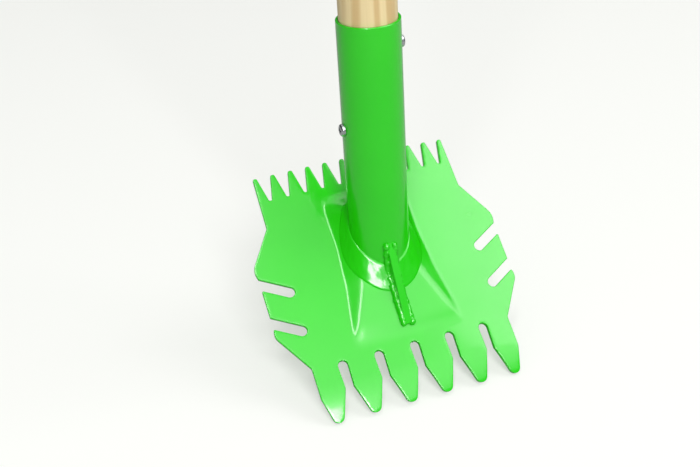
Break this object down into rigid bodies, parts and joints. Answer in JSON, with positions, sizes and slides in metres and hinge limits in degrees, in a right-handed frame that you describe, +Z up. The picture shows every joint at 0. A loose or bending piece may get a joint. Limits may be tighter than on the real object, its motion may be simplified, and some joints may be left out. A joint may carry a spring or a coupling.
{
  "type": "garden cultivator hoe",
  "caption": "Long-handled garden hand tool: a pitched, punched steel head with front teeth, a fine back comb and side barbs, welded to a slanting tube socket on a wooden pole.",
  "frame": {"origin": "centre of the socket tube's mouth, on the handle's axis", "axes": "+Z up along the handle away from the head, +Y towards the fine comb at the back of the head, +X to the right seen from the front teeth"},
  "size_m": [0.1524, 0.1183, 1.3153],
  "materials": {
    "green_powder_coat": "gloss",
    "pale_wood": "satin",
    "zinc_plate": "bright zinc plate"
  },
  "bodies": {
    "root": {"head_plate": "green_powder_coat", "socket_tube": "green_powder_coat", "socket_weld": "green_powder_coat", "gusset": "green_powder_coat", "gusset_weld_left": "green_powder_coat", "gusset_weld_right": "green_powder_coat", "wood_handle": "pale_wood", "handle_screws": "zinc_plate"}
  },
  "joints": []
}
